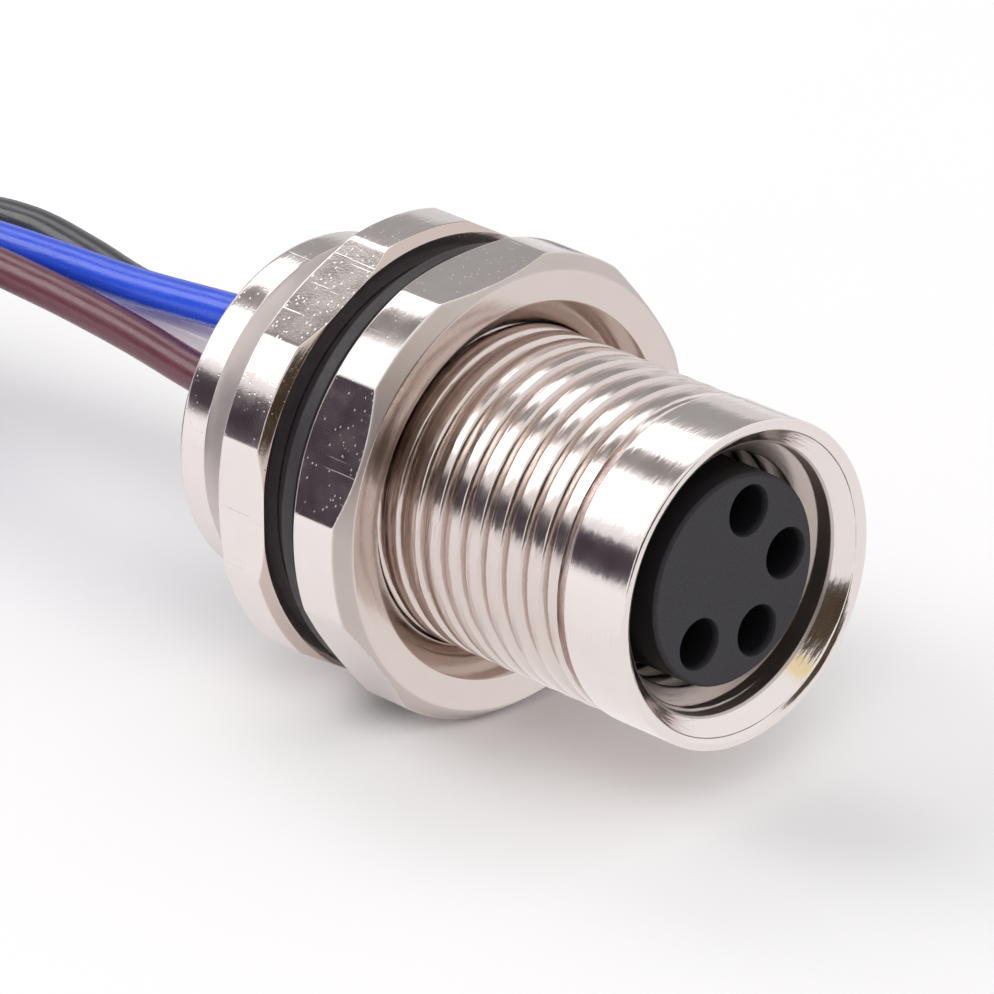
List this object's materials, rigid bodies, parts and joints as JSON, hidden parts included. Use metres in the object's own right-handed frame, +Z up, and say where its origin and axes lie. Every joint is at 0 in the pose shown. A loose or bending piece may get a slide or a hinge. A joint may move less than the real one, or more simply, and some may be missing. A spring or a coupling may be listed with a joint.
{
  "type": "circular sensor panel mount connector",
  "caption": "Round nickel-plated sensor receptacle for a panel hole, with a hexagonal flange, seal, panel nut, black contact insert and coloured leads.",
  "frame": {"origin": "on the connector's axis, at the front face of the hexagonal flange, where the panel seal sits", "axes": "+X along the axis towards the mating face, +Z up with the connector lying on its flange"},
  "size_m": [0.0585, 0.0232, 0.0142],
  "materials": {
    "nickel_plate": "nickel plated brass, bright turned",
    "seal_rubber": "matte",
    "insert_plastic": "fine matte",
    "contact_gold": "gold plated",
    "tinned_copper": "tinned strand",
    "resin": "cast resin",
    "brown_insulation": "satin",
    "blue_insulation": "satin",
    "white_insulation": "satin",
    "black_insulation": "satin",
    "tie_plastic": "satin"
  },
  "bodies": {
    "receptacle": {"threaded_sleeve": "nickel_plate", "flange_body": "nickel_plate", "panel_seal": "seal_rubber", "contact_insert": "insert_plastic", "contact_1": "contact_gold", "contact_2": "contact_gold", "contact_3": "contact_gold", "contact_4": "contact_gold", "strand_1": "tinned_copper", "strand_2": "tinned_copper", "strand_3": "tinned_copper", "strand_4": "tinned_copper", "rear_resin": "resin", "wire_brown": "brown_insulation", "wire_blue": "blue_insulation", "wire_white": "white_insulation", "wire_black": "black_insulation", "wire_coil": "black_insulation", "coil_tie": "tie_plastic", "bare_end_brown": "tinned_copper", "bare_end_blue": "tinned_copper", "bare_end_white": "tinned_copper", "bare_end_black": "tinned_copper"},
    "nut": {"panel_nut": "nickel_plate"}
  },
  "joints": [
    {"name": "nut_travel", "type": "slide", "parent": "receptacle", "child": "nut", "axis": [1, 0, 0], "range_m": [0, 0.0068]}
  ]
}
